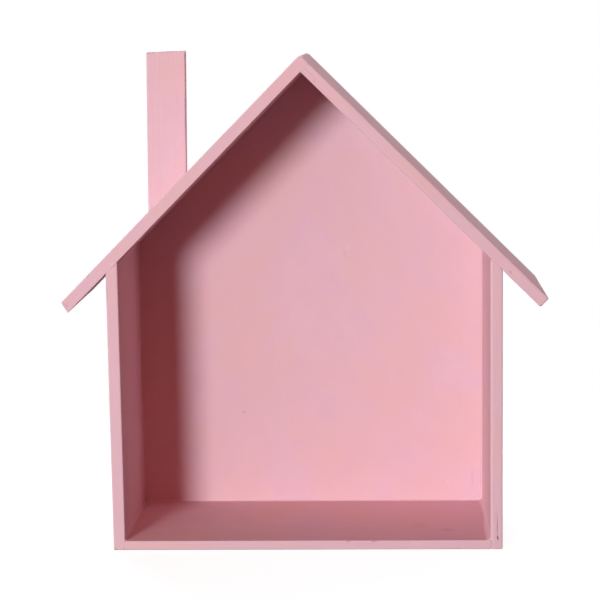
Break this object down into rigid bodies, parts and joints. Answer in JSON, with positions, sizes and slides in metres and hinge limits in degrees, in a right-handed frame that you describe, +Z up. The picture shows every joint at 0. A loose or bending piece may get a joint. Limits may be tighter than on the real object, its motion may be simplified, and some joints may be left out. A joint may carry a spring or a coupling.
{
  "type": "house-shaped wall shelf",
  "caption": "House-shaped wall shelf of painted board with an open cubby, a gable roof with eaves, a flat chimney and swinging rings behind to hang it.",
  "frame": {"origin": "middle of the bounding box in plan, at the underside of the floor board, where the shelf rests when it stands", "axes": "+X to the right as seen from the open front, +Y to the back panel and the wall, +Z up"},
  "size_m": [0.2949, 0.1052, 0.3055],
  "materials": {
    "painted_board": "satin brushed paint",
    "painted_panel": "satin brushed paint",
    "zinc_steel": "zinc plated",
    "brad_steel": "bright drawn wire",
    "pad_rubber": "matt soft rubber"
  },
  "bodies": {
    "shelf": {"left_side_wall": "painted_board", "right_side_wall": "painted_board", "floor_board": "painted_board", "back_panel": "painted_panel", "left_roof_board": "painted_board", "right_roof_board": "painted_board", "chimney_plank": "painted_board", "left_floor_brads": "brad_steel", "right_floor_brads": "brad_steel", "left_eave_brads": "brad_steel", "right_eave_brads": "brad_steel", "ridge_brads": "brad_steel", "chimney_brads": "brad_steel", "back_panel_pins": "brad_steel", "left_hanger_strap": "zinc_steel", "right_hanger_strap": "zinc_steel", "hanger_screws": "zinc_steel", "left_wall_bumper": "pad_rubber", "right_wall_bumper": "pad_rubber"},
    "left_ring": {"left_hanger_ring": "zinc_steel"},
    "right_ring": {"right_hanger_ring": "zinc_steel"}
  },
  "joints": [
    {"name": "left_ring_swing", "type": "hinge", "parent": "shelf", "child": "left_ring", "pos_m": [-0.115, 0.05099, 0.158], "axis": [1, 0, 0], "range_deg": [0, 174]},
    {"name": "right_ring_swing", "type": "hinge", "parent": "shelf", "child": "right_ring", "pos_m": [0.115, 0.05099, 0.158], "axis": [1, 0, 0], "range_deg": [0, 174]}
  ]
}
